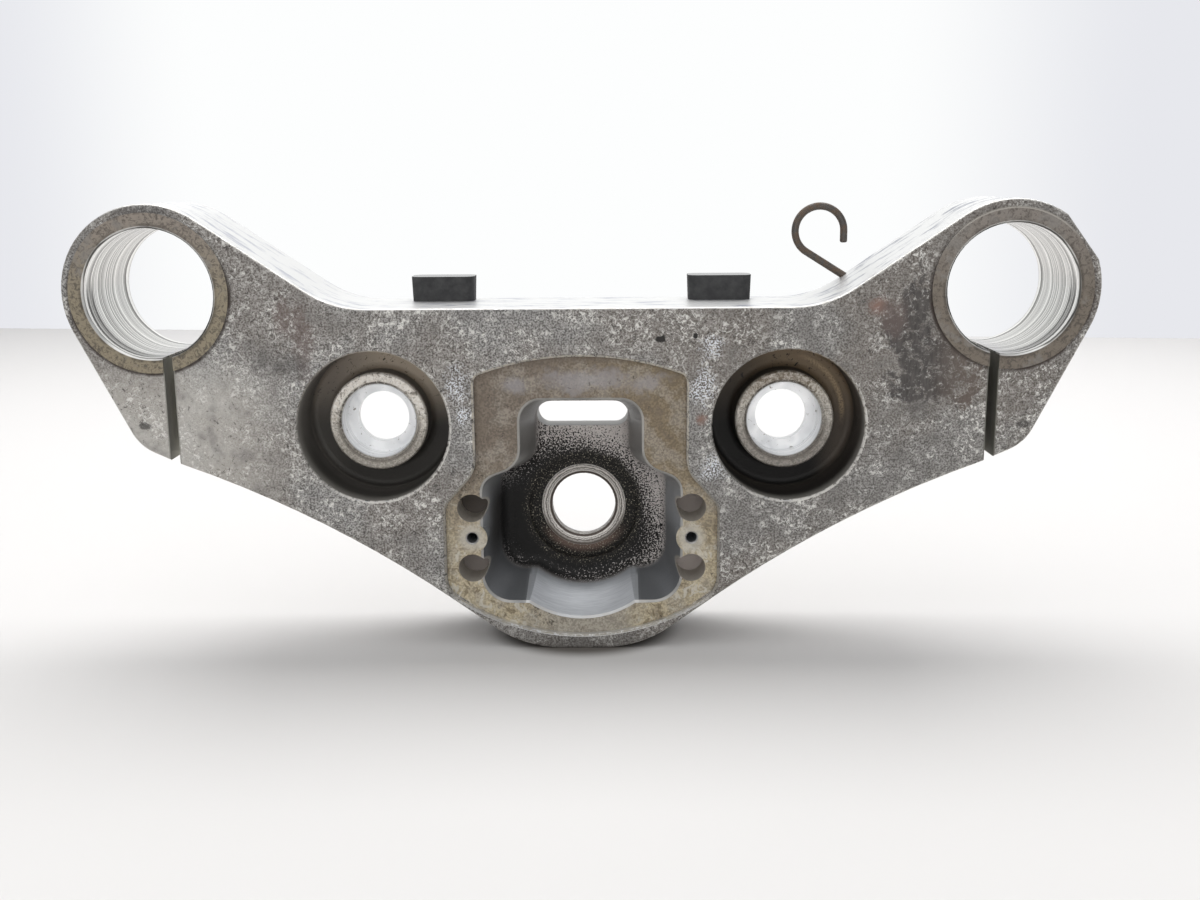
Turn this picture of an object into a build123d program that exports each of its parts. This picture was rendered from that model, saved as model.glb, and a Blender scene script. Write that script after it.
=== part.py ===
# Motorcycle triple clamp: split fork lugs, bushed riser seats and a stem pocket with a cover ledge.
# Millimetres. X runs across the bike and Z is up; Y runs from the pocket face to the plain back face.
# The origin is the centre of the stem hole on the back face.
import os
from math import asin, cos, degrees, radians, sin, tan

from build123d import *

# Casting outline: heights from the stem axis, drops from the fork axis
thickness = 34.0
fork_half_spacing = 116.0
fork_height = 66.4
lug_radius = 23.8
top_height = 61.9
arm_slope = 34.0
valley_radius = 30.0
ear_side_angle = 26.3
ear_corner_drop = 42.1
ear_corner_radius = 12.0
ear_end_drop = 45.9
arm_end_drop = 47.1
foot_height = -34.6
foot_half_width = 6.0
foot_radius = 32.0
foot_angle = 35.7
shin_length = 14.8
front_edge_round = 0.8
back_edge_round = 2.0

# Fork bores, contact pads, pinch slots and the filed flat on the right lug
fork_bore_radius = 17.5
bore_edge_chamfer = 0.5
pad_radius = 21.6
pad_height = 0.6
slot_inset = 4.0
slot_width = 2.6
lug_flat_distance = 22.6
lug_flat_angle = 37.0

# Pinch screws across the slots
screw_radius = 4.0
screw_drop = 28.4
screw_seat_outset = 3.5
screw_length = 25.0
screw_head_radius = 6.5
screw_head_height = 8.0
screw_socket_flats = 6.0
screw_socket_depth = 4.0
screw_edge_chamfer = 0.6
ear_hole_clearance = 0.5
thread_clearance = 0.05
head_clearance = 0.6
tapped_extra = 3.0

# Riser seats
riser_offset = 57.0
riser_height = 29.5
riser_pocket_radius = 20.9
riser_pocket_depth = 18.0
riser_pocket_round = 2.0
riser_rim_chamfer = 0.4
riser_boss_radius = 13.8
riser_boss_depth = 9.2
riser_boss_bore = 10.4
riser_boss_chamfer = 1.0
riser_boss_edge = 0.4
riser_web_front = 17.5
riser_web_back = 20.5
riser_hole_radius = 7.3
riser_back_radius = 13.0

# Cover ledge
ledge_depth = 2.2
ledge_rim_chamfer = 0.6
ledge_top = 48.7
ledge_top_radius = 81.0
ledge_neck_half = 29.2
ledge_neck_end = 16.7
ledge_half = 38.0
ledge_flare_end = 6.8
ledge_foot_wall = 4.0
ledge_bottom_radius = 63.0
ledge_top_corner = 2.5
ledge_flare_corner = 9.0
ledge_side_corner = 5.0
ledge_low_corner = 8.0

# Stem pocket
pocket_depth = 26.0
pocket_draft = 8.5
pocket_foot_round = 4.0
pocket_rim_chamfer = 0.6
neck_top = 36.5
neck_half = 17.0
neck_corner = 6.0
shoulder_height = 18.0
shoulder_round = 7.0
lobe_half = 27.8
lobe_top = 13.8
lobe_top_corner = 5.0
lobe_bottom = -21.3
lobe_low_corner = 8.0
scoop_radius = 26.0
scoop_top = -12.0

# Cover fixings: tapped holes in half-round bosses, with a round notch above and below each
cover_screw_offset = 30.8
cover_screw_height = -2.8
cover_screw_radius = 1.5
cover_screw_chamfer = 0.4
cover_screw_depth = 12.0
cover_boss_radius = 4.3
notch_radius = 4.0
notch_rise = 8.7
notch_depth = 10.5

# Stem hub and cable window
hub_seat_radius = 16.2
hub_seat_depth = 3.5
hub_cone_radius = 12.5
hub_cone_depth = 1.0
stem_hole_radius = 9.5
window_half = 13.3
window_bottom = 24.9
window_top = 32.5
window_corner = 3.7

# Rubber buffers on the top edge
buffer_inset = 76.5
buffer_back = 7.5
buffer_width = 17.6
buffer_depth = 9.0
buffer_height = 7.0
buffer_corner = 2.5
buffer_flare = 2.0
buffer_plug_radius = 3.0
buffer_plug_length = 9.0
plug_clearance = 0.1
plug_hole_extra = 1.0

# Wire hook in the right arm
wire_radius = 1.05
hook_back = 3.5
hook_inset = 47.3
hook_rise = 14.4
hook_radius = 7.0
hook_shank_angle = 32.0
hook_shank_length = 13.5
hook_tail = 3.4
hook_plug_depth = 7.0
hook_tip_round = 0.6
wire_clearance = 0.1
wire_hole_extra = 1.0

# Planes: each sketch looks at the pocket face, with X right and Z up
back = Plane.XZ
front = back.offset(thickness)
pad_face = back.offset(thickness + pad_height)
ledge = back.offset(thickness - ledge_depth)
foot = back.offset(thickness - pocket_depth + pocket_foot_round)
through = -thickness - pad_height
ledge_level = ledge_depth - thickness

# Places that follow the fork axis
ear_corner_height = fork_height - ear_corner_drop
ear_end_height = fork_height - ear_end_drop
arm_end_height = fork_height - arm_end_drop
slot_offset = fork_half_spacing - slot_inset
screw_height = fork_height - screw_drop
screw_seat = fork_half_spacing + screw_seat_outset
buffer_offset = fork_half_spacing - buffer_inset
hook_offset = fork_half_spacing - hook_inset
hook_height = fork_height + hook_rise

# Tangent points of the lug circle, and the corners that follow from them
rise_x = fork_half_spacing - lug_radius * sin(radians(arm_slope))
rise_z = fork_height + lug_radius * cos(radians(arm_slope))
valley_x = rise_x - (rise_z - top_height) / tan(radians(arm_slope))
side_x = fork_half_spacing + lug_radius * cos(radians(ear_side_angle))
side_z = fork_height - lug_radius * sin(radians(ear_side_angle))
ear_corner_x = side_x - (side_z - ear_corner_height) * tan(radians(ear_side_angle))
slot_inner = slot_offset - slot_width / 2
slot_outer = slot_offset + slot_width / 2

# Lower edge of the ledge, which keeps a wall above the foot, and half angles of its two long arcs
ledge_bottom = foot_height + ledge_foot_wall
roof_angle = degrees(asin(ledge_neck_half / ledge_top_radius))
sill_angle = degrees(asin(ledge_half / ledge_bottom_radius))

# Points along the hook's shank
shank_x = cos(radians(hook_shank_angle))
shank_z = -sin(radians(hook_shank_angle))
bend_x = hook_offset - hook_radius * sin(radians(hook_shank_angle))
bend_z = hook_height - hook_radius * cos(radians(hook_shank_angle))
entry_x = bend_x + hook_shank_length * shank_x
entry_z = bend_z + hook_shank_length * shank_z
wire_axis = (shank_x, 0, shank_z)

# Mirrored pairs of places on the face
fork_places = [(-fork_half_spacing, fork_height), (fork_half_spacing, fork_height)]
slot_places = [(-slot_offset, fork_height), (slot_offset, fork_height)]
cover_places = [(-cover_screw_offset, cover_screw_height), (cover_screw_offset, cover_screw_height)]
notch_places = [
    (side * cover_screw_offset, cover_screw_height + rise * notch_rise)
    for side in (-1, 1)
    for rise in (-1, 1)
]


def corners(sketch, height):
    # Sketch corners off the centre line at one height
    level = sketch.vertices().filter_by_position(Axis.Y, height - 0.05, height + 0.05)
    return level.filter_by(lambda corner: abs(corner.X) > 1)


def touches(face, level):
    # Whether a face begins or ends at one depth
    box = face.bounding_box()
    return min(abs(box.min.Y - level), abs(box.max.Y - level)) < 0.01


def pocket_corners(pocket, height):
    # Sloping corner edges of the drafted pocket that start at one height on the ledge
    sloping = pocket.edges().filter_by(lambda edge: edge.bounding_box().size.Y > 1)
    return sloping.filter_by(lambda edge: abs(edge.vertices().sort_by(Axis.Y)[0].Z - height) < 0.05)


# Cutter for one riser seat: groove around a standing boss, web hole, bush seat from the back
with BuildPart() as riser_seat:
    with BuildSketch(Plane.XY):
        with BuildLine():
            Polyline(
                (0, 0),
                (riser_back_radius, 0),
                (riser_back_radius, riser_web_back - thickness),
                (riser_hole_radius, riser_web_back - thickness),
                (riser_hole_radius, riser_web_front - thickness),
                (riser_boss_bore, riser_web_front - thickness),
                (riser_boss_bore, riser_boss_depth + riser_boss_chamfer - thickness),
                (riser_boss_bore + riser_boss_chamfer, riser_boss_depth - thickness),
                (riser_boss_radius - riser_boss_edge, riser_boss_depth - thickness),
                (riser_boss_radius, riser_boss_depth + riser_boss_edge - thickness),
                (riser_boss_radius, riser_pocket_depth - thickness),
                (riser_pocket_radius, riser_pocket_depth - thickness),
                (riser_pocket_radius, riser_rim_chamfer - thickness),
                (riser_pocket_radius + riser_rim_chamfer, -thickness),
                (0, -thickness),
                close=True,
            )
        make_face()
    revolve(axis=Axis.Y)
    groove_floor = riser_seat.edges().filter_by(GeomType.CIRCLE).filter_by_position(
        Axis.Y, riser_pocket_depth - thickness - 0.01, riser_pocket_depth - thickness + 0.01
    )
    fillet(groove_floor, riser_pocket_round)

# Cutter for the stem hub: flat seat, conical ring and through hole
with BuildPart() as stem_hub:
    with BuildSketch(Plane.XY):
        with BuildLine():
            Polyline(
                (0, 0),
                (stem_hole_radius, 0),
                (stem_hole_radius, pocket_depth + hub_seat_depth + hub_cone_depth - thickness),
                (hub_cone_radius, pocket_depth + hub_seat_depth - thickness),
                (hub_seat_radius, pocket_depth + hub_seat_depth - thickness),
                (hub_seat_radius, pocket_depth - thickness),
                (0, pocket_depth - thickness),
                close=True,
            )
        make_face()
    revolve(axis=Axis.Y)

# Cutter for the stem pocket: drafted walls, and a round scoop about the stem in the lower wall
with BuildPart() as stem_pocket:
    with BuildSketch(ledge):
        with BuildLine():
            Polyline(
                (0, neck_top),
                (neck_half, neck_top),
                (neck_half, shoulder_height),
                (lobe_half, lobe_top),
                (lobe_half, lobe_bottom),
                (0, lobe_bottom),
            )
            mirror(about=Plane.YZ)
        make_face()
    extrude(amount=ledge_depth - pocket_depth, taper=pocket_draft)
    fillet(pocket_corners(stem_pocket, neck_top), neck_corner)
    fillet(pocket_corners(stem_pocket, shoulder_height), shoulder_round)
    fillet(pocket_corners(stem_pocket, lobe_top), lobe_top_corner)
    fillet(pocket_corners(stem_pocket, lobe_bottom), lobe_low_corner)
    with BuildSketch(ledge):
        Circle(scoop_radius)
        with Locations((0, scoop_top)):
            Rectangle(
                2 * scoop_radius,
                2 * scoop_radius,
                align=(Align.CENTER, Align.MAX),
                mode=Mode.INTERSECT,
            )
    extrude(amount=ledge_depth - pocket_depth, taper=pocket_draft)
    fillet(stem_pocket.faces().sort_by(Axis.Y)[-1].edges(), pocket_foot_round)

# Casting
with BuildPart() as clamp_body:
    with BuildSketch(back) as outline:
        with BuildLine():
            base = Line((0, foot_height), (foot_half_width, foot_height))
            heel = JernArc(base @ 1, base % 1, foot_radius, foot_angle)
            shin = PolarLine(heel @ 1, shin_length, direction=heel % 1)
            flank = TangentArc(shin @ 1, (slot_inner, arm_end_height), tangent=shin % 1)
            step = Line(flank @ 1, (slot_outer, ear_end_height))
            ear_edge = Line(step @ 1, (ear_corner_x, ear_corner_height))
            ear_side = Line(ear_edge @ 1, (side_x, side_z))
            lug = CenterArc(
                (fork_half_spacing, fork_height),
                lug_radius,
                -ear_side_angle,
                ear_side_angle + 90 + arm_slope,
            )
            rise = Line(lug @ 1, (valley_x, top_height))
            top = Line(rise @ 1, (0, top_height))
            mirror(about=Plane.YZ)
        make_face()
        fillet(corners(outline, ear_corner_height), ear_corner_radius)
        fillet(corners(outline, top_height), valley_radius)
    extrude(amount=thickness)

    # Filed flat on the right lug
    with BuildSketch(back):
        with Locations((fork_half_spacing, fork_height)):
            with Locations(Location((0, 0, 0), (0, 0, lug_flat_angle))):
                with Locations((lug_flat_distance, 0)):
                    Rectangle(lug_radius, 2 * lug_radius, align=(Align.MIN, Align.CENTER))
    extrude(amount=thickness, mode=Mode.SUBTRACT)

    # Edge rounds of the casting
    fillet(clamp_body.faces().sort_by(Axis.Y)[-1].edges(), back_edge_round)
    fillet(clamp_body.faces().sort_by(Axis.Y)[0].edges(), front_edge_round)

    # Raised contact pads, fork bores and pinch slots
    with BuildSketch(front):
        with Locations(fork_places):
            Circle(pad_radius)
    extrude(amount=pad_height)
    with BuildSketch(pad_face):
        with Locations(fork_places):
            Circle(fork_bore_radius)
    extrude(amount=through, mode=Mode.SUBTRACT)
    bore_rims = clamp_body.edges().filter_by(GeomType.CIRCLE)
    bore_rims = bore_rims.filter_by(lambda rim: abs(rim.radius - fork_bore_radius) < 0.01)
    chamfer(bore_rims, bore_edge_chamfer)
    with BuildSketch(pad_face):
        with Locations(slot_places):
            Rectangle(slot_width, fork_height, align=(Align.CENTER, Align.MAX))
    extrude(amount=through, mode=Mode.SUBTRACT)

    # Pinch screw seats, ear holes and tapped holes
    for side in (-1, 1):
        with BuildSketch(Plane.YZ.offset(side * screw_seat)):
            with Locations((-thickness / 2, screw_height)):
                Circle(screw_head_radius + head_clearance)
        extrude(amount=side * lug_radius, mode=Mode.SUBTRACT)
        with BuildSketch(Plane.YZ.offset(side * screw_seat)):
            with Locations((-thickness / 2, screw_height)):
                Circle(screw_radius + ear_hole_clearance)
        extrude(amount=side * (slot_offset - screw_seat), mode=Mode.SUBTRACT)
        with BuildSketch(Plane.YZ.offset(side * slot_offset)):
            with Locations((-thickness / 2, screw_height)):
                Circle(screw_radius + thread_clearance)
        tapped = screw_length + tapped_extra - (screw_seat - slot_offset)
        extrude(amount=-side * tapped, mode=Mode.SUBTRACT)

    # Riser seats
    with Locations((-riser_offset, 0, riser_height), (riser_offset, 0, riser_height)):
        add(riser_seat.part, mode=Mode.SUBTRACT)

    # Cover ledge
    with BuildSketch(front) as ledge_outline:
        with BuildLine():
            roof = CenterArc(
                (0, ledge_top - ledge_top_radius),
                ledge_top_radius,
                90 - roof_angle,
                roof_angle,
            )
            neck = Line(roof @ 0, (ledge_neck_half, ledge_neck_end))
            flare = Line(neck @ 1, (ledge_half, ledge_flare_end))
            sill = CenterArc(
                (0, ledge_bottom + ledge_bottom_radius),
                ledge_bottom_radius,
                -90,
                sill_angle,
            )
            Line(flare @ 1, sill @ 1)
            roof_corner = (roof @ 0).Y
            sill_corner = (sill @ 1).Y
            mirror(about=Plane.YZ)
        make_face()
        fillet(corners(ledge_outline, roof_corner), ledge_top_corner)
        fillet(corners(ledge_outline, ledge_neck_end), ledge_flare_corner)
        fillet(corners(ledge_outline, ledge_flare_end), ledge_side_corner)
        fillet(corners(ledge_outline, sill_corner), ledge_low_corner)
    extrude(amount=-ledge_depth, mode=Mode.SUBTRACT)
    steps = clamp_body.faces().filter_by(lambda wall: touches(wall, -thickness))
    steps = steps.filter_by(lambda wall: touches(wall, ledge_level))
    ledge_rim = steps.edges().filter_by_position(Axis.Y, -thickness - 0.01, 0.01 - thickness)
    chamfer(ledge_rim, ledge_rim_chamfer)

    # Stem pocket, cover screw bosses, tapped holes and notches
    add(stem_pocket.part, mode=Mode.SUBTRACT)
    ledge_floor = clamp_body.faces().filter_by_position(Axis.Y, ledge_level - 0.01, ledge_level + 0.01)
    chamfer(ledge_floor[0].inner_wires()[0].edges(), pocket_rim_chamfer)
    with BuildSketch(ledge):
        with Locations(cover_places):
            Circle(cover_boss_radius)
    extrude(amount=ledge_depth - pocket_depth)
    with BuildSketch(ledge):
        with Locations(notch_places):
            Circle(notch_radius)
    extrude(amount=-notch_depth, mode=Mode.SUBTRACT)
    with BuildSketch(ledge):
        with Locations(cover_places):
            Circle(cover_screw_radius)
    extrude(amount=-cover_screw_depth, mode=Mode.SUBTRACT)
    screw_rims = clamp_body.edges().filter_by(GeomType.CIRCLE)
    screw_rims = screw_rims.filter_by(lambda rim: abs(rim.radius - cover_screw_radius) < 0.01)
    chamfer(screw_rims.group_by(Axis.Y)[0], cover_screw_chamfer)

    # Stem hub and cable window through the back web
    add(stem_hub.part, mode=Mode.SUBTRACT)
    with BuildSketch(foot):
        with Locations((0, (window_bottom + window_top) / 2)):
            RectangleRounded(2 * window_half, window_top - window_bottom, window_corner)
    extrude(amount=pocket_depth - thickness - pocket_foot_round, mode=Mode.SUBTRACT)

    # Blind holes for the buffer plugs and the hook's wire
    with BuildSketch(Plane.XY.offset(top_height)):
        with Locations((-buffer_offset, -buffer_back), (buffer_offset, -buffer_back)):
            Circle(buffer_plug_radius + plug_clearance)
    extrude(amount=-buffer_plug_length - plug_hole_extra, mode=Mode.SUBTRACT)
    with BuildSketch(Plane(origin=(bend_x, -hook_back, bend_z), z_dir=wire_axis)):
        Circle(wire_radius + wire_clearance)
    extrude(
        amount=hook_shank_length + hook_plug_depth + wire_hole_extra,
        mode=Mode.SUBTRACT,
    )

# Rubber buffer block, a little wider at the top, with a moulded plug
with BuildPart() as buffer_right:
    with BuildSketch(Plane.XY.offset(top_height)):
        with Locations((buffer_offset, -buffer_back)):
            RectangleRounded(buffer_width, buffer_depth, buffer_corner)
    extrude(amount=buffer_height, taper=-buffer_flare)
    with BuildSketch(Plane.XY.offset(top_height)):
        with Locations((buffer_offset, -buffer_back)):
            Circle(buffer_plug_radius)
    extrude(amount=-buffer_plug_length)

with BuildPart() as buffer_left:
    add(mirror(buffer_right.part, about=Plane.YZ))

# Socket-head pinch screw
with BuildPart() as pinch_screw_right:
    with BuildSketch(Plane.YZ.offset(screw_seat)):
        with Locations((-thickness / 2, screw_height)):
            Circle(screw_head_radius)
    extrude(amount=screw_head_height)
    chamfer(pinch_screw_right.edges().sort_by(Axis.X)[-1], screw_edge_chamfer)
    with BuildSketch(Plane.YZ.offset(screw_seat)):
        with Locations((-thickness / 2, screw_height)):
            Circle(screw_radius)
    extrude(amount=-screw_length)
    chamfer(pinch_screw_right.edges().sort_by(Axis.X)[0], screw_edge_chamfer)
    with BuildSketch(Plane.YZ.offset(screw_seat + screw_head_height)):
        with Locations((-thickness / 2, screw_height)):
            RegularPolygon(screw_socket_flats / 2, 6, major_radius=False)
    extrude(amount=-screw_socket_depth, mode=Mode.SUBTRACT)

with BuildPart() as pinch_screw_left:
    add(mirror(pinch_screw_right.part, about=Plane.YZ))

# Wire hook: straight shank, open loop and a short tail
with BuildPart() as cable_hook:
    with BuildLine(back.offset(hook_back)) as wire_path:
        shank = Line(
            (entry_x + hook_plug_depth * shank_x, entry_z + hook_plug_depth * shank_z),
            (bend_x, bend_z),
        )
        loop = CenterArc(
            (hook_offset, hook_height),
            hook_radius,
            270 - hook_shank_angle,
            hook_shank_angle - 270,
        )
        Line(loop @ 1, (hook_offset + hook_radius, hook_height - hook_tail))
    with BuildSketch(Plane(origin=wire_path.line @ 0, z_dir=wire_path.line % 0)):
        Circle(wire_radius)
    sweep(path=wire_path.line)
    tip = cable_hook.faces().filter_by(GeomType.PLANE).sort_by(Axis.Z)[-1]
    fillet(tip.edges(), hook_tip_round)

os.makedirs("parts", exist_ok=True)

clamp_body.part.label = "clamp_body"
buffer_left.part.label = "buffer_left"
buffer_right.part.label = "buffer_right"
pinch_screw_left.part.label = "pinch_screw_left"
pinch_screw_right.part.label = "pinch_screw_right"
cable_hook.part.label = "cable_hook"

export_step(clamp_body.part, "parts/clamp_body.step")
export_step(buffer_left.part, "parts/buffer_left.step")
export_step(buffer_right.part, "parts/buffer_right.step")
export_step(pinch_screw_left.part, "parts/pinch_screw_left.step")
export_step(pinch_screw_right.part, "parts/pinch_screw_right.step")
export_step(cable_hook.part, "parts/cable_hook.step")
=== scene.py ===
from math import pi, radians
from types import SimpleNamespace

import bpy
from mathutils import Matrix, Vector

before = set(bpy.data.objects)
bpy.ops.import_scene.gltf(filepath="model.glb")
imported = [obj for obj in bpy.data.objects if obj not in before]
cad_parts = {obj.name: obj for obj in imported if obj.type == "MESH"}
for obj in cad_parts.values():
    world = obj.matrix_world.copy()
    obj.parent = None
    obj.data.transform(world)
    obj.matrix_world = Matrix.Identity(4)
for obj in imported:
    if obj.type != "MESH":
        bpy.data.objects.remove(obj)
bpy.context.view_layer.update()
scene = bpy.context.scene

# Where the casting's features lie in millimetres: X across, Y into the part, Z up from the stem axis
BACK_FACE = 0.0
FACE = -34.0
EDGE_ROUND = 0.8
FORK = (116.0, 0.0, 66.4)
FORK_BORE = 17.5
PAD = 21.6
SLOT = 112.0
SLOT_HALF = 1.6
SLOT_TOP = 51.0
RISER = (57.0, 0.0, 29.5)
RISER_POCKET = 20.9
RISER_END = -2.5
# Radius of the painted highlight streak in the right riser groove
SHEEN_STREAK = 17.6
BOSS = 13.8
BOSS_BORE = 10.4
BOSS_FACE = -24.8
LEDGE = -31.8
LEDGE_HALF = 38.6
LEDGE_TOP = 49.3
LEDGE_BOTTOM = -31.2
RIM = 0.6
COVER_SCREW = (30.8, 0.0, -2.8)
NOTCH = 4.0
NOTCH_RISE = 8.7
POCKET_FLOOR = -8.0
SCOOP = 26.6
RIDGE = 15.6
HUB_SEAT = 16.2
HUB_RING = 12.5
STEM_HOLE = 9.5
FOOT = -34.6
MM_PER_METRE = 1000.0

# Line of the casting's lower flanks: its rise for each millimetre across, and its height at the middle
FLANK_SLOPE = 0.7186
FLANK_START = -44.6

# Sand grains of the mould in millimetres, drawn coarser than their quarter so that they show
SAND_GRAIN = 0.5

# Sizes of the casting's other patterns in millimetres
CRUST_GRAIN = 1.2
FLAKE = 3.4
PATCH = 8.0
CLOUD = 34.0

# Camera fitted to the photograph: its place in metres, turns in degrees, sensor and lens in millimetres
VIEW_POINT = (0.00966, -0.38204, 0.09571)
VIEW_TURN = 0.71
VIEW_TILT = -11.819
VIEW_ROLL = -0.411
SENSOR = 36.0
LENS = 38.785

# The studio in metres, and the turn of its wall in degrees
STAGE_HALF = 3.0
FLOOR_BACK = 1.2
WALL_TOP = 2.0
WALL_DISTANCE = 0.733
WALL_TURN = -6.94
ROOM_LIGHT = 0.42

# Short names for the kinds of node and the settings that come up most
MATH = "ShaderNodeMath"
VECTOR = "ShaderNodeVectorMath"
NOISE = "ShaderNodeTexNoise"

# A range takes its measure at 0, starts at 1, is full at 2, and gives from 3 to 4, or else from 0 to 1
RANGE = "ShaderNodeMapRange"

# A mix takes its share at 0, two vectors at 4 and 5, and two colours at 6 and 7
MIX = "ShaderNodeMix"
SOFT = {"interpolation_type": "SMOOTHSTEP"}
COLOUR = {"data_type": "RGBA"}


def linear(code):
    # sRGB hex code to the linear colour that shaders take
    parts = [int(code[i:i + 2], 16) / 255 for i in (1, 3, 5)]
    return [c / 12.92 if c <= 0.04045 else ((c + 0.055) / 1.055) ** 2.4 for c in parts] + [1.0]


def add(tree, kind, feeds=None, **settings):
    # One node with its settings; each feed is a value, a socket or a node whose first live output is meant
    node = tree.nodes.new(kind)
    for name, value in settings.items():
        setattr(node, name, value)
    for socket, value in (feeds or {}).items():
        if isinstance(value, bpy.types.Node):
            value = next(output for output in value.outputs if output.enabled)
        if isinstance(value, bpy.types.NodeSocket):
            tree.links.new(value, node.inputs[socket])
        else:
            node.inputs[socket].default_value = value
    return node


def empty_finish(name):
    # A new material and its tree with no node in it
    material = bpy.data.materials.new(name)
    material.use_nodes = True
    material.node_tree.nodes.clear()
    return material, material.node_tree


def start_finish(name, **constants):
    # A new material with its surface shader; constants go straight on the shader's sockets
    material, tree = empty_finish(name)
    shader = add(tree, "ShaderNodeBsdfPrincipled", constants)
    add(tree, "ShaderNodeOutputMaterial", {"Surface": shader})
    return material, tree, shader


def millimetres(tree):
    # The place on the piece in millimetres
    place = add(tree, "ShaderNodeTexCoord").outputs["Object"]
    return add(tree, VECTOR, {0: place, "Scale": MM_PER_METRE}, operation="SCALE")


def facing(tree):
    # How far the surface faces along each axis of the piece, from -1 to 1
    normal = add(tree, "ShaderNodeTexCoord").outputs["Normal"]
    return add(tree, "ShaderNodeSeparateXYZ", {0: normal}).outputs


def overlap(tree, *masks):
    # Where all the masks hold together
    total = masks[0]
    for mask in masks[1:]:
        total = add(tree, MATH, {0: total, 1: mask}, operation="MULTIPLY")
    return total


def stain(tree, place, spots, soft=0.3):
    # 1 inside a few oval spots (x, z, half width, half height) with ragged edges
    nearest = None
    for x, z, wide, tall in spots:
        off = add(tree, VECTOR, {0: place.flat, 1: (x, 0, z)}, operation="SUBTRACT")
        off = add(tree, VECTOR, {0: off, 1: (1 / wide, 0, 1 / tall)}, operation="MULTIPLY")
        off = add(tree, VECTOR, {0: off}, operation="LENGTH")
        nearest = off if nearest is None else add(tree, MATH, {0: nearest, 1: off}, operation="MINIMUM")
    edge = add(tree, MATH, {0: nearest, 1: place.ragged}, operation="ADD")
    return add(tree, RANGE, {0: edge, 1: 1 + soft, 2: 1 - soft}, **SOFT)


def survey(tree):
    # Measures and patterns that the casting's layers share, from sand grains to broad clouds
    place = SimpleNamespace()
    place.spot = millimetres(tree)
    place.up_facing = facing(tree)[2]
    place.front_facing = add(tree, MATH, {0: facing(tree)[1], 1: -1.0}, operation="MULTIPLY")
    axes = add(tree, "ShaderNodeSeparateXYZ", {0: place.spot})
    place.across, place.deep, place.up = axes.outputs
    place.side = add(tree, MATH, {0: place.across}, operation="ABSOLUTE")
    place.flat = add(tree, "ShaderNodeCombineXYZ", {0: place.across, 2: place.up})
    folded = add(tree, "ShaderNodeCombineXYZ", {0: place.side, 2: place.up})
    place.from_fork = add(tree, VECTOR, {0: folded, 1: FORK}, operation="DISTANCE")
    place.from_riser = add(tree, VECTOR, {0: folded, 1: RISER}, operation="DISTANCE")
    place.from_stem = add(tree, VECTOR, {0: folded}, operation="LENGTH")
    place.from_screw = add(tree, VECTOR, {0: folded, 1: COVER_SCREW}, operation="DISTANCE")
    place.on_face = add(tree, RANGE, {0: place.deep, 1: FACE + 0.3, 2: FACE + 0.1}, **SOFT)
    place.on_right = add(tree, RANGE, {0: place.across, 1: -5.0, 2: 5.0})

    for pattern, size, detail, rough, bend in [
        ("grain", SAND_GRAIN, 0.0, 0.5, 0.0),
        ("crust", CRUST_GRAIN, 4.0, 0.7, 0.9),
        ("flake", FLAKE, 5.0, 0.62, 1.2),
        ("patch", PATCH, 4.0, 0.6, 0.0),
        ("cloud", CLOUD, 3.0, 0.5, 0.0),
    ]:
        feeds = {
            "Vector": place.spot, "Scale": 1 / size,
            "Detail": detail, "Roughness": rough, "Distortion": bend,
        }
        setattr(place, pattern, add(tree, NOISE, feeds))
    place.sand = add(tree, RANGE, {0: place.grain, 1: 0.38, 2: 0.62})
    patchy = add(tree, RANGE, {0: place.patch, 1: 0.3, 2: 0.7, 3: -0.6, 4: 0.6})
    flaky = add(tree, RANGE, {0: place.flake, 1: 0.3, 2: 0.7, 3: -0.4, 4: 0.4})
    place.ragged = add(tree, MATH, {0: patchy, 1: flaky})
    return place


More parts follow.
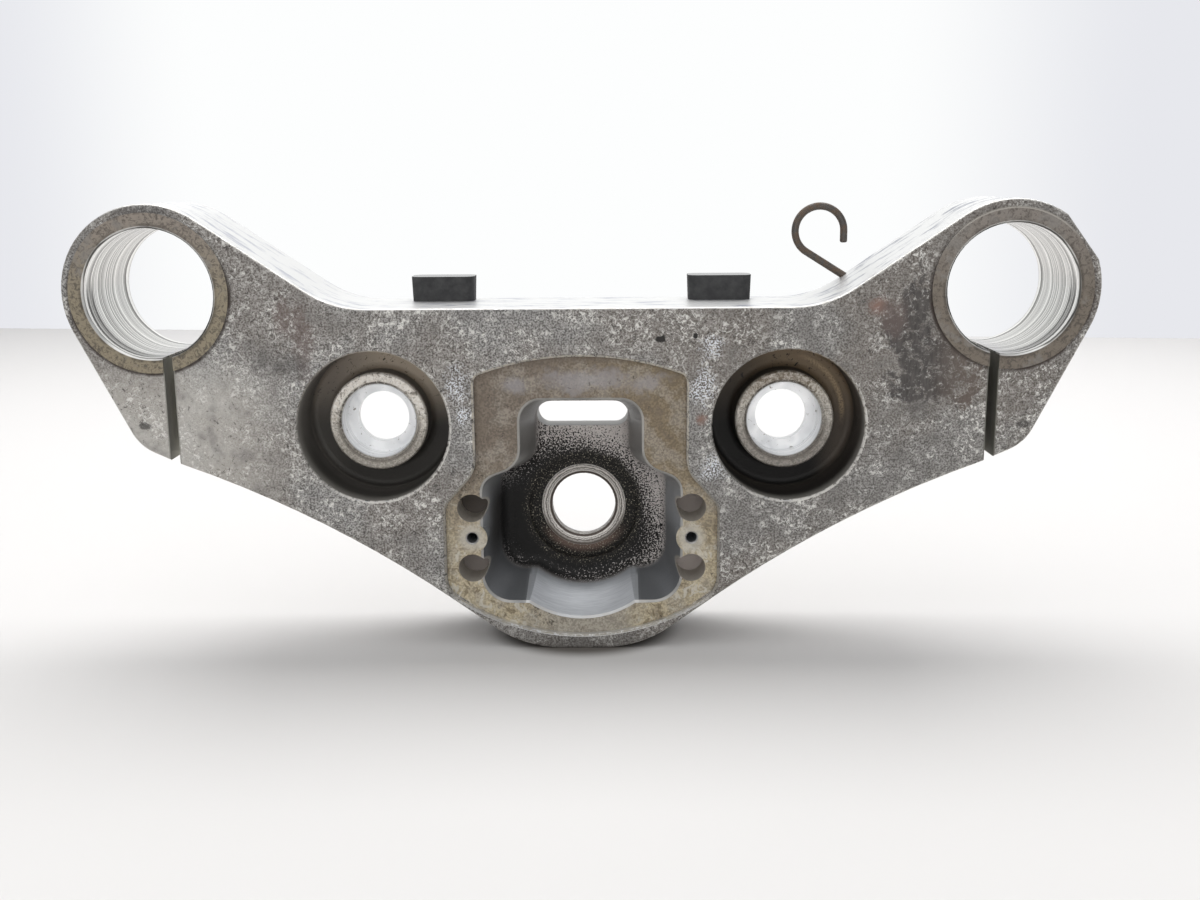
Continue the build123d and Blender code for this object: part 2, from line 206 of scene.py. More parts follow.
def oxide_skin(tree, place):
    # Grey oxide of a sand casting: smooth where it is pale, elsewhere coarse with pits, smudges and flakes
    # whose edges carry a painted highlight and shadow
    tone = add(tree, RANGE, {0: place.cloud, 1: 0.36, 2: 0.64}, **SOFT)
    skin = add(tree, MIX, {0: tone, 6: linear("#73706c"), 7: linear("#969390")}, **COLOUR)
    drift = add(tree, RANGE, {0: place.patch, 1: 0.34, 2: 0.64}, **SOFT)
    drift = add(tree, MIX, {0: drift, 6: linear("#aba8a4"), 7: linear("#5d5956")}, **COLOUR)
    skin = add(tree, MIX, {0: 0.35, 6: skin, 7: drift}, **COLOUR)
    coarse = add(tree, RANGE, {0: place.cloud, 1: 0.62, 2: 0.42, 3: 0.2, 4: 0.55}, **SOFT)
    mottle = add(tree, RANGE, {0: place.crust, 1: 0.36, 2: 0.62})
    mottle = add(tree, MIX, {0: mottle, 6: linear("#524e4b"), 7: linear("#bdbab5")}, **COLOUR)
    skin = add(tree, MIX, {0: coarse, 6: skin, 7: mottle}, **COLOUR)
    sandy = add(tree, MIX, {0: place.sand, 6: linear("#292827"), 7: linear("#bab9b7")}, **COLOUR)
    skin = add(tree, MIX, {0: 0.5, 6: skin, 7: sandy}, **COLOUR)
    to_right = add(tree, RANGE, {0: place.across, 1: -20.0, 2: 50.0, 4: 0.3}, **SOFT)
    skin = add(tree, MIX, {0: to_right, 6: skin, 7: linear("#5d5852")}, **COLOUR)
    bleached = overlap(
        tree,
        add(tree, RANGE, {0: place.across, 1: -74.0, 2: -100.0}, **SOFT),
        add(tree, RANGE, {0: place.up, 1: 54.0, 2: 36.0, 4: 0.78}, **SOFT),
    )
    skin = add(tree, MIX, {0: bleached, 6: skin, 7: linear("#c6c3bd")}, **COLOUR)

    brown = add(tree, RANGE, {0: place.cloud, 1: 0.58, 2: 0.42, 4: 0.25}, **SOFT)
    smudge = add(tree, RANGE, {0: place.patch, 1: 0.56, 2: 0.68, 4: 0.45}, **SOFT)
    pits = overlap(tree, add(tree, RANGE, {0: place.crust, 1: 0.41, 2: 0.33, 4: 1.5}, **SOFT), coarse)

    # A flake's edge gets a painted highlight where its pattern crosses the middle, with a painted shadow
    # just under it
    flake = add(tree, MATH, {0: place.flake, 1: 0.5}, operation="SUBTRACT")
    edge = add(tree, MATH, {0: flake}, operation="ABSOLUTE")
    edge = add(tree, RANGE, {0: edge, 1: 0.022, 2: 0.008}, **SOFT)
    painted_flake_shadow = add(tree, MATH, {0: flake, 1: 0.03}, operation="ADD")
    painted_flake_shadow = add(tree, MATH, {0: painted_flake_shadow}, operation="ABSOLUTE")
    painted_flake_shadow = add(tree, RANGE, {0: painted_flake_shadow, 1: 0.02, 2: 0.006}, **SOFT)
    broken = overlap(
        tree,
        add(tree, RANGE, {0: place.crust, 1: 0.42, 2: 0.54, 4: 0.9}, **SOFT),
        add(tree, RANGE, {0: place.patch, 1: 0.58, 2: 0.42, 3: 0.25, 4: 1.0}, **SOFT),
    )
    # Darker towards the foot
    darker_at_foot = add(tree, RANGE, {0: place.up, 1: -27.0, 2: -33.0, 4: 0.4}, **SOFT)
    return skin, [
        (brown, linear("#7e7165"), (0.65, 0.3, 1.0)),
        (smudge, linear("#706d6a"), (0.55, 0.3, 0.6)),
        (pits, linear("#413e3b"), (0.8, 0.1, 1.0)),
        # Painted shadow under the flakes' edges, then a painted highlight along them
        (overlap(tree, painted_flake_shadow, broken, broken), linear("#4f4b48"), (0.7, 0.2, 1.0)),
        (overlap(tree, edge, broken), linear("#d2d0cb"), (0.7, 0.2, 1.0)),
        (darker_at_foot, linear("#4f4b47"), (0.65, 0.2, 0.8)),
    ]


def face_stains(tree, place):
    # Old dark film, reddish and dark stains, chips and white frost on the front face, all with ragged edges
    film = stain(
        tree, place,
        [(91, 61, 4.5, 8), (91, 54, 7.5, 7), (95, 47, 10, 8), (98.5, 43, 9, 7), (92, 40, 6, 5)],
        soft=0.25,
    )
    flaked = add(tree, RANGE, {0: place.flake, 1: 0.60, 2: 0.52, 3: 0.45, 4: 1.0}, **SOFT)
    fibres = add(tree, "ShaderNodeMapping", {"Vector": place.spot, "Scale": (1 / 0.8, 1 / 0.8, 1 / 3.5)})
    fibres = add(tree, NOISE, {"Vector": fibres, "Scale": 1.0, "Detail": 3.0, "Distortion": 0.6})
    tone = add(tree, RANGE, {0: fibres, 1: 0.35, 2: 0.7})
    tone = add(tree, MIX, {0: tone, 6: linear("#3b3735"), 7: linear("#55514e")}, **COLOUR)
    to_right = add(tree, RANGE, {0: place.across, 1: 93.0, 2: 105.0, 4: 0.6}, **SOFT)
    tone = add(tree, MIX, {0: to_right, 6: tone, 7: linear("#6a5c52")}, **COLOUR)
    thin = add(tree, RANGE, {0: place.crust, 1: 0.68, 2: 0.54, 3: 0.7, 4: 1.0})
    red = stain(
        tree, place,
        [(79.8, 62.3, 2.2, 1.8), (100.5, 74, 2.2, 2.2), (33, 31.3, 1.2, 1.2)],
        soft=0.9,
    )
    brown = stain(
        tree, place,
        [(84.5, 59.5, 3, 4), (-75, 56.5, 2.6, 9), (-80, 60, 2, 4), (102, 71, 4, 4)],
        soft=0.6,
    )
    brown = add(tree, MATH, {0: brown, 1: 0.65}, operation="MULTIPLY")
    dark = stain(
        tree, place,
        [(-81, 46.5, 5, 3), (-86, 49, 3, 4), (-117, 88.8, 10, 1.6), (92, 34, 4, 3)],
        soft=0.7,
    )
    dark = add(tree, MATH, {0: dark, 1: 0.6}, operation="MULTIPLY")
    scuffs = stain(tree, place, [(-120, 29.9, 1.6, 1.0), (120.6, 29.6, 1.6, 1.0)])
    scuffs = add(tree, MATH, {0: scuffs, 1: 0.8}, operation="MULTIPLY")
    chips = stain(tree, place, [(21.9, 53.3, 1.4, 1.1), (31.4, 54.2, 0.5, 0.6)], soft=0.15)
    frost = stain(
        tree, place,
        [
            (-33.5, 41, 3.2, 4.5), (-32, 32.5, 1.6, 2.5), (33.3, 41, 3.2, 4.5),
            (36, 51, 3, 2.5), (36.5, 17, 3, 3.5),
        ],
        soft=0.6,
    )
    frost = overlap(tree, frost, add(tree, RANGE, {0: place.grain, 1: 0.47, 2: 0.6, 4: 0.75}))
    return [
        (overlap(tree, film, flaked, thin, place.on_face), tone, (0.5, 0.2, 0.5)),
        (overlap(tree, red, thin, thin, place.on_face), linear("#846a60"), (0.7, 0.1, 0.8)),
        (overlap(tree, brown, thin, thin, place.on_face), linear("#6a5c57"), (0.65, 0.2, 0.8)),
        (overlap(tree, dark, thin, place.on_face), linear("#504d4b"), (0.6, 0.2, 0.8)),
        (overlap(tree, scuffs, thin, place.on_face), linear("#3c3937"), (0.7, 0.1, 1.0)),
        (overlap(tree, chips, place.on_face), linear("#262422"), (0.8, 0.0, 1.0)),
        (overlap(tree, frost, place.on_face), linear("#e3e7ee"), (0.6, 0.2, 1.0)),
    ]


def worn_edges(tree, place):
    # Pale crusts grown over the face in drifts, tops painted nearly white as a sheen with grey smudges, and
    # bright wear along the edge
    drift = add(tree, RANGE, {0: place.patch, 1: 0.60, 2: 0.40}, **SOFT)
    crust = add(tree, RANGE, {0: place.crust, 1: 0.54, 2: 0.62}, **SOFT)
    above_foot = add(tree, RANGE, {0: place.up, 1: -32.0, 2: -22.0, 3: 0.3, 4: 1.0}, **SOFT)
    # Up-facing tops are painted near white as a painted sheen, with grey smudges towards the right
    painted_top_sheen = add(tree, RANGE, {0: place.up_facing, 1: 0.45, 2: 0.8}, **SOFT)
    rubbed = add(tree, "ShaderNodeMapping", {"Vector": place.spot, "Scale": (1 / 11, 1 / 4, 1 / 11)})
    rubbed = add(tree, NOISE, {"Vector": rubbed, "Scale": 1.0, "Detail": 4.0, "Roughness": 0.65})
    rubbed = add(tree, RANGE, {0: rubbed, 1: 0.5, 2: 0.68}, **SOFT)
    to_right = add(tree, RANGE, {0: place.across, 1: 50.0, 2: 75.0}, **SOFT)
    smudge = add(tree, MIX, {0: to_right, 6: linear("#b1b3bc"), 7: linear("#8b8e99")}, **COLOUR)
    rubbed = add(tree, MIX, {0: rubbed, 6: linear("#dededd"), 7: smudge}, **COLOUR)
    worn = overlap(
        tree,
        add(tree, RANGE, {0: place.deep, 1: FACE + EDGE_ROUND + 0.3, 2: FACE + EDGE_ROUND - 0.1}, **SOFT),
        add(tree, RANGE, {0: place.deep, 1: FACE + 0.03, 2: FACE + 0.15}, **SOFT),
        add(tree, RANGE, {0: place.crust, 1: 0.38, 2: 0.55, 4: 0.8}, **SOFT),
    )
    return [
        (overlap(tree, drift, crust, above_foot), linear("#dad8d3"), (0.75, 0.2, 1.0)),
        (painted_top_sheen, rubbed, (0.36, 0.8, 0.3)),
        (worn, linear("#bab7b1"), (0.45, 0.6, 0.6)),
    ]


def fork_lugs(tree, place):
    # Oily varnish on the contact pads with dirt and painted shadow round their foot, bright scored bores
    # and grimy saw slots
    pad = overlap(
        tree,
        add(tree, RANGE, {0: place.from_fork, 1: PAD + 0.1, 2: PAD - 0.1}),
        add(tree, RANGE, {0: place.deep, 1: FACE - 0.2, 2: FACE - 0.4}),
    )

    # Varnish on the pads: sootier on the right, spotted with dirt, bare in patches
    high = add(tree, RANGE, {0: place.up, 1: FORK[2] - 4, 2: FORK[2] + 20}, **SOFT)
    varnish = add(tree, MIX, {0: high, 6: linear("#8d836f"), 7: linear("#8c8379")}, **COLOUR)
    sooty = add(tree, MIX, {0: high, 6: linear("#756c61"), 7: linear("#837c75")}, **COLOUR)
    varnish = add(tree, MIX, {0: place.on_right, 6: varnish, 7: sooty}, **COLOUR)
    spots = add(tree, RANGE, {0: place.crust, 1: 0.54, 2: 0.38, 4: 0.75}, **SOFT)
    varnish = add(tree, MIX, {0: spots, 6: varnish, 7: linear("#4b453f")}, **COLOUR)
    bare = add(tree, RANGE, {0: place.patch, 1: 0.57, 2: 0.66, 4: 0.6}, **SOFT)
    varnish = add(tree, MIX, {0: bare, 6: varnish, 7: linear("#827e79")}, **COLOUR)
    inner_line = overlap(
        tree,
        pad,
        add(tree, RANGE, {0: place.from_fork, 1: FORK_BORE + 1.5, 2: FORK_BORE + 0.9}, **SOFT),
        add(tree, RANGE, {0: place.patch, 1: 0.60, 2: 0.46, 4: 0.55}),
    )
    rubbed_line = overlap(
        tree,
        place.on_right,
        add(tree, MATH, {0: place.from_fork, 1: PAD - 0.1, 2: 0.3}, operation="COMPARE"),
        add(tree, RANGE, {0: place.up, 1: FORK[2] + 12, 2: FORK[2] + 18, 4: 0.8}, **SOFT),
        add(tree, RANGE, {0: place.deep, 1: FACE + 0.1, 2: FACE - 0.1}),
    )
    # Dirt and painted shadow round the lower foot of each pad
    dirt_and_shadow_ring = overlap(
        tree,
        add(tree, RANGE, {0: place.from_fork, 1: PAD + 1.2, 2: PAD + 0.3}, **SOFT),
        add(tree, RANGE, {0: place.up, 1: FORK[2] + 16, 2: FORK[2] - 4}, **SOFT),
        add(tree, RANGE, {0: place.patch, 1: 0.38, 2: 0.58, 3: 0.5, 4: 1.0}),
        place.on_face,
    )

    # Tool marks run round the bore, broad and fine ones mixed, with two dark gouges near the face
    bore = add(tree, RANGE, {0: place.from_fork, 1: FORK_BORE + 0.6, 2: FORK_BORE + 0.4})
    sway = add(tree, MATH, {0: place.cloud, 1: 5.0, 2: place.deep}, operation="MULTIPLY_ADD")
    broad, fine = [
        add(
            tree, NOISE,
            {"W": sway, "Scale": 1 / spacing, "Detail": 2.0, "Roughness": 0.6},
            noise_dimensions="1D",
        )
        for spacing in (2.4, 0.7)
    ]
    scoring = add(tree, MATH, {0: broad, 1: fine})
    scoring = add(tree, RANGE, {0: scoring, 1: 0.80, 2: 1.12})
    silver = add(tree, MIX, {0: scoring, 6: linear("#5f5d59"), 7: linear("#f3f2ef")}, **COLOUR)
    gouges = [
        add(tree, MATH, {0: place.deep, 1: FACE + depth, 2: half_width}, operation="COMPARE")
        for depth, half_width in [(2.4, 0.7), (5.6, 0.5)]
    ]
    gouges = overlap(
        tree,
        add(tree, MATH, {0: gouges[0], 1: gouges[1]}, operation="MAXIMUM"),
        add(tree, RANGE, {0: place.up, 1: FORK[2] + 6, 2: FORK[2] - 4}, **SOFT),
        add(tree, RANGE, {0: place.side, 1: FORK[0] - 6, 2: FORK[0] + 6, 4: 0.9}, **SOFT),
        bore,
    )
    slot = overlap(
        tree,
        add(tree, MATH, {0: place.side, 1: SLOT, 2: SLOT_HALF}, operation="COMPARE"),
        add(tree, RANGE, {0: place.from_fork, 1: FORK_BORE + 0.3, 2: FORK_BORE + 0.6}),
        add(tree, RANGE, {0: place.up, 1: SLOT_TOP + 1, 2: SLOT_TOP - 1}),
        add(tree, RANGE, {0: place.deep, 1: FACE - 0.7, 2: FACE + 0.1}),
    )
    # The left slot is painted lighter as if lit and the right one darker as if in shade; both are grimier
    # towards the face
    sawn = add(tree, MIX, {0: place.on_right, 6: linear("#c8c6bd"), 7: linear("#88867d")}, **COLOUR)
    soiled = add(tree, RANGE, {0: place.deep, 1: FACE + 7, 2: FACE - 0.5, 4: 0.7})
    sawn = add(tree, MIX, {0: soiled, 6: sawn, 7: linear("#54524c")}, **COLOUR)
    return scoring, [
        (dirt_and_shadow_ring, linear("#3a302a"), (0.7, 0.0, 0.8)),
        (pad, varnish, (0.5, 0.35, 0.5)),
        (inner_line, linear("#38322c"), (0.6, 0.1, 0.6)),
        (rubbed_line, linear("#a5a098"), (0.45, 0.4, 0.4)),
        (bore, silver, (0.3, 0.85, 0.1)),
        (gouges, linear("#3f3d3b"), (0.5, 0.3, 0.2)),
        (slot, sawn, (0.6, 0.4, 0.4)),
    ]


def riser_seats(tree, place, scoring):
    # Round riser seats: walls and groove darkened by painted shade, the groove oily above and black below,
    # a turned boss with a bright bore
    seat = overlap(
        tree,
        add(tree, RANGE, {0: place.from_riser, 1: RISER_POCKET + 0.5, 2: RISER_POCKET + 0.3}),
        add(tree, RANGE, {0: place.deep, 1: FACE + 0.1, 2: FACE + 0.3}),
        add(tree, RANGE, {0: place.deep, 1: RISER_END + 0.5, 2: RISER_END - 0.5}),
    )
    aside = add(tree, MATH, {0: place.across}, operation="SIGN")
    aside = add(tree, MATH, {0: aside, 1: -RISER[0], 2: place.across}, operation="MULTIPLY_ADD")
    rise = add(tree, MATH, {0: place.up, 1: RISER[2]}, operation="SUBTRACT")
    slant = add(tree, MATH, {0: aside, 1: rise}, operation="SUBTRACT")
    high = add(tree, RANGE, {0: rise, 1: -4.0, 2: 14.0}, **SOFT)
    outward = add(tree, MATH, {0: place.side, 1: RISER[0]}, operation="SUBTRACT")
    outward = add(tree, RANGE, {0: outward, 1: 8.0, 2: 17.0}, **SOFT)

    # Wall: paler near the rim, darkened with depth by painted shade and most low down, painted lighter at
    # its heel, and darker all round on the right seat, partly dirt and partly painted shade
    sunk = add(tree, RANGE, {0: place.deep, 1: FACE + 0.3, 2: FACE + 7}, **SOFT)
    shadow = add(tree, MIX, {0: place.on_right, 6: linear("#716d68"), 7: linear("#514b46")}, **COLOUR)
    gloom = add(tree, MIX, {0: place.on_right, 6: linear("#484541"), 7: linear("#2a2623")}, **COLOUR)
    upper = add(tree, RANGE, {0: rise, 1: -14.0, 2: 2.0}, **SOFT)
    shadow = add(tree, MIX, {0: upper, 6: gloom, 7: shadow}, **COLOUR)
    wall = add(tree, MIX, {0: sunk, 6: linear("#8f8c86"), 7: shadow}, **COLOUR)
    heel = add(tree, RANGE, {0: place.deep, 1: FACE + 9, 2: FACE + 16}, **SOFT)
    heel_tone = add(tree, MIX, {0: place.on_right, 6: linear("#6f6b66"), 7: linear("#4b4640")}, **COLOUR)
    wall = add(tree, MIX, {0: heel, 6: wall, 7: heel_tone}, **COLOUR)

    # Groove: oily above, lighter towards the right, and near black below, paler outwards, its dark partly
    # grease and partly painted shade, with dark specks in the oil
    grease_and_shade_below = add(tree, MIX, {0: place.on_right, 6: linear("#383531"), 7: linear("#171513")}, **COLOUR)
    outer_low_tone = add(tree, MIX, {0: place.on_right, 6: linear("#4d4a45"), 7: linear("#574e45")}, **COLOUR)
    grease_and_shade_below = add(tree, MIX, {0: outward, 6: grease_and_shade_below, 7: outer_low_tone}, **COLOUR)
    oil = add(tree, MIX, {0: place.on_right, 6: linear("#bbad9b"), 7: linear("#88765f")}, **COLOUR)
    dim_oil = add(tree, MIX, {0: place.on_right, 6: linear("#8b8176"), 7: linear("#4e4439")}, **COLOUR)
    lighter_rightward = add(tree, RANGE, {0: aside, 1: -15.0, 2: 3.0}, **SOFT)
    groove = add(tree, MIX, {0: lighter_rightward, 6: dim_oil, 7: oil}, **COLOUR)
    oily = add(tree, RANGE, {0: place.front_facing, 1: 0.2, 2: 0.7}, **SOFT)
    groove = add(tree, MIX, {0: high, 6: grease_and_shade_below, 7: groove}, **COLOUR)
    groove = add(tree, MIX, {0: oily, 6: wall, 7: groove}, **COLOUR)
    specks = overlap(tree, high, add(tree, RANGE, {0: place.crust, 1: 0.40, 2: 0.34}))
    groove = add(tree, MIX, {0: specks, 6: groove, 7: linear("#2b2622")}, **COLOUR)

    # Worn rims, a painted highlight along the lower right of each rim, and a painted highlight streaked
    # over the oil in the right groove
    rim = overlap(
        tree,
        seat,
        add(tree, RANGE, {0: place.deep, 1: FACE + 1.5, 2: FACE + 0.7}, **SOFT),
        add(tree, RANGE, {0: place.crust, 1: 0.4, 2: 0.55, 4: 0.7}),
    )
    low_rim_highlight = overlap(
        tree,
        add(tree, MATH, {0: place.from_riser, 1: RISER_POCKET + 0.35, 2: 0.35}, operation="COMPARE"),
        add(tree, RANGE, {0: place.deep, 1: FACE + 0.9, 2: FACE + 0.6}),
        add(tree, RANGE, {0: place.crust, 1: 0.38, 2: 0.52}),
        add(tree, RANGE, {0: slant, 1: -4.0, 2: 16.0, 4: 0.8}, **SOFT),
    )
    sheen_streak = overlap(
        tree,
        seat,
        add(tree, RANGE, {0: place.from_riser, 1: SHEEN_STREAK - 1.1, 2: SHEEN_STREAK - 0.2}, **SOFT),
        add(tree, RANGE, {0: place.from_riser, 1: SHEEN_STREAK + 1.0, 2: SHEEN_STREAK + 0.2}, **SOFT),
        add(tree, RANGE, {0: place.grain, 1: 0.36, 2: 0.56, 3: 0.3, 4: 1.0}),
        add(tree, RANGE, {0: place.across, 1: RISER[0] + 3, 2: RISER[0] + 10}, **SOFT),
        add(tree, RANGE, {0: rise, 1: -4.0, 2: 4.0, 4: 0.8}, **SOFT),
    )

    # Turned boss: pale and sandy, soiled in spots and at its crown, with a dirty line at the bore's edge
    boss = overlap(
        tree,
        seat,
        add(tree, RANGE, {0: place.from_riser, 1: BOSS + 0.4, 2: BOSS + 0.1}),
        add(tree, RANGE, {0: place.deep, 1: BOSS_FACE + 3.0, 2: BOSS_FACE + 0.5}, **SOFT),
    )
    turned = add(tree, RANGE, {0: rise, 1: -8.0, 2: 8.0}, **SOFT)
    low_tone = add(tree, MIX, {0: place.on_right, 6: linear("#a39e96"), 7: linear("#8b8680")}, **COLOUR)
    top_tone = add(tree, MIX, {0: place.on_right, 6: linear("#e2ddd6"), 7: linear("#c0bbb3")}, **COLOUR)
    turned = add(tree, MIX, {0: turned, 6: low_tone, 7: top_tone}, **COLOUR)
    sandy = add(tree, MIX, {0: place.sand, 6: linear("#7a7873"), 7: linear("#d8d6d1")}, **COLOUR)
    turned = add(tree, MIX, {0: 0.4, 6: turned, 7: sandy}, blend_type="OVERLAY", **COLOUR)
    dirty = add(tree, RANGE, {0: place.crust, 1: 0.46, 2: 0.38, 4: 0.8}, **SOFT)
    turned = add(tree, MIX, {0: dirty, 6: turned, 7: linear("#6b645b")}, **COLOUR)
    grime = overlap(
        tree,
        add(tree, RANGE, {0: rise, 1: 2.0, 2: 11.0}, **SOFT),
        add(tree, RANGE, {0: place.crust, 1: 0.60, 2: 0.44, 3: 0.2, 4: 0.9}),
        add(tree, RANGE, {0: place.across, 1: -5.0, 2: 5.0, 3: 0.25, 4: 1.0}),
    )
    turned = add(tree, MIX, {0: grime, 6: turned, 7: linear("#655847")}, **COLOUR)
    seam = overlap(
        tree,
        boss,
        add(tree, MATH, {0: place.from_riser, 1: BOSS_BORE + 0.5, 2: 0.25}, operation="COMPARE"),
        add(tree, RANGE, {0: slant, 1: 2.0, 2: -10.0}, **SOFT),
        add(tree, RANGE, {0: place.crust, 1: 0.60, 2: 0.50, 4: 0.9}),
    )
    crest = overlap(
        tree,
        boss,
        add(tree, MATH, {0: place.from_riser, 1: BOSS_BORE + 1.1, 2: 0.35}, operation="COMPARE"),
        add(tree, RANGE, {0: rise, 1: 5.0, 2: -4.0, 4: 0.65}, **SOFT),
    )

    # Bright bore with the same tool marks as the fork bores, and a few pits
    boss_bore = overlap(
        tree,
        seat,
        add(tree, RANGE, {0: place.from_riser, 1: BOSS_BORE + 0.3, 2: BOSS_BORE + 0.1}),
    )
    bright = add(tree, MIX, {0: scoring, 6: linear("#d0d2d4"), 7: linear("#ffffff")}, **COLOUR)
    pitted = overlap(tree, boss_bore, add(tree, RANGE, {0: place.crust, 1: 0.37, 2: 0.32}))
    return [
        (seat, groove, (0.55, 0.3, 0.4)),
        (sheen_streak, linear("#b09a7c"), (0.45, 0.4, 0.4)),
        (rim, linear("#aeaba5"), (0.5, 0.4, 0.6)),
        (low_rim_highlight, linear("#d6d3cd"), (0.45, 0.4, 0.6)),
        (boss, turned, (0.45, 0.3, 0.3)),
        (crest, linear("#6b645c"), (0.5, 0.3, 0.3)),
        (seam, linear("#4a443d"), (0.6, 0.1, 0.5)),
        (boss_bore, bright, (0.36, 0.7, 0.1)),
        (pitted, linear("#8a847b"), (0.6, 0.1, 0.3)),
    ]


def cover_ledge(tree, place, middle):
    # Oil varnish on the cover ledge: brown above, golden at the flanks, rubbed grey below, in worn patches
    ledge = overlap(tree, middle, add(tree, RANGE, {0: place.deep, 1: LEDGE - 0.15, 2: LEDGE - 0.05}))
    to_right = add(tree, RANGE, {0: place.across, 1: -18.0, 2: 24.0}, **SOFT)
    brown = add(tree, MIX, {0: to_right, 6: linear("#70665c"), 7: linear("#786b57")}, **COLOUR)
    flank = add(tree, RANGE, {0: place.side, 1: 6.0, 2: 20.0}, **SOFT)
    golden = add(tree, MIX, {0: flank, 6: linear("#a39d92"), 7: linear("#b2a78f")}, **COLOUR)
    low = add(tree, RANGE, {0: place.up, 1: 24.0, 2: -16.0}, **SOFT)
    varnish = add(tree, MIX, {0: low, 6: brown, 7: golden}, **COLOUR)
    worn = add(tree, RANGE, {0: place.patch, 1: 0.46, 2: 0.62, 4: 0.55}, **SOFT)
    varnish = add(tree, MIX, {0: worn, 6: varnish, 7: linear("#958f86")}, **COLOUR)
    sandy = add(tree, MIX, {0: place.sand, 6: linear("#96948f"), 7: linear("#dbd9d4")}, **COLOUR)
    varnish = add(tree, MIX, {0: 0.45, 6: varnish, 7: sandy}, blend_type="OVERLAY", **COLOUR)

    # Wear and dirt over the varnish, and pale halos where the cover screws pressed
    # Darker just under the ledge's top edge
    darker_under_top = add(tree, RANGE, {0: place.up, 1: LEDGE_TOP - 3.5, 2: LEDGE_TOP - 1, 4: 0.5}, **SOFT)
    soiled = add(tree, RANGE, {0: place.patch, 1: 0.48, 2: 0.34, 4: 0.5}, **SOFT)
    rubbed = stain(tree, place, [(-18, 41, 3.4, 2.2), (2, 41.8, 12, 2.8), (18.4, 41, 4.2, 2.4)], soft=0.6)
    dirt = stain(tree, place, [(-29, 18, 3, 4), (-30, 9, 4, 4), (-23, -14, 4, 4), (-12, -25, 5, 3)])
    dirt = overlap(tree, dirt, add(tree, RANGE, {0: place.crust, 1: 0.46, 2: 0.38, 4: 0.8}, **SOFT))
    specks = add(tree, RANGE, {0: place.crust, 1: 0.38, 2: 0.31, 4: 0.75}, **SOFT)
    dirt = add(tree, MATH, {0: dirt, 1: specks}, operation="MAXIMUM")
    halo = add(tree, RANGE, {0: place.from_screw, 1: 5.0, 2: 2.4, 4: 0.6}, **SOFT)
    # The ledge's rim, worn pale in patches and painted paler above as a highlight
    rim = overlap(
        tree,
        middle,
        add(tree, RANGE, {0: place.deep, 1: FACE + 0.02, 2: FACE + 0.12}),
        add(tree, RANGE, {0: place.deep, 1: FACE + RIM + 0.1, 2: FACE + RIM - 0.1}),
        add(tree, RANGE, {0: place.crust, 1: 0.35, 2: 0.6, 4: 0.8}, **SOFT),
    )
    above = add(tree, RANGE, {0: place.up, 1: 4.0, 2: 30.0}, **SOFT)
    rim_highlight_tone = add(tree, MIX, {0: above, 6: linear("#928c80"), 7: linear("#cfc8b9")}, **COLOUR)
    faded = add(tree, MATH, {0: rubbed, 1: 0.55}, operation="MULTIPLY")
    scraped = add(tree, RANGE, {0: place.flake, 1: 0.54, 2: 0.62, 4: 0.7}, **SOFT)
    caked = add(tree, RANGE, {0: place.flake, 1: 0.44, 2: 0.36, 4: 0.7}, **SOFT)
    return [
        (rim, rim_highlight_tone, (0.5, 0.4, 0.5)),
        (ledge, varnish, (0.5, 0.35, 0.5)),
        (overlap(tree, ledge, soiled), linear("#6b6053"), (0.55, 0.2, 0.6)),
        (overlap(tree, ledge, darker_under_top), linear("#665b51"), (0.55, 0.2, 0.5)),
        (overlap(tree, ledge, flank, low, caked), linear("#6b5e47"), (0.6, 0.2, 0.6)),
        (overlap(tree, ledge, flank, low, scraped), linear("#c6c2b7"), (0.45, 0.4, 0.5)),
        (overlap(tree, ledge, faded), linear("#99979a"), (0.45, 0.4, 0.3)),
        (overlap(tree, ledge, dirt), linear("#3f382f"), (0.7, 0.0, 0.8)),
        (overlap(tree, ledge, halo), linear("#b9b5ac"), (0.45, 0.5, 0.3)),
    ]


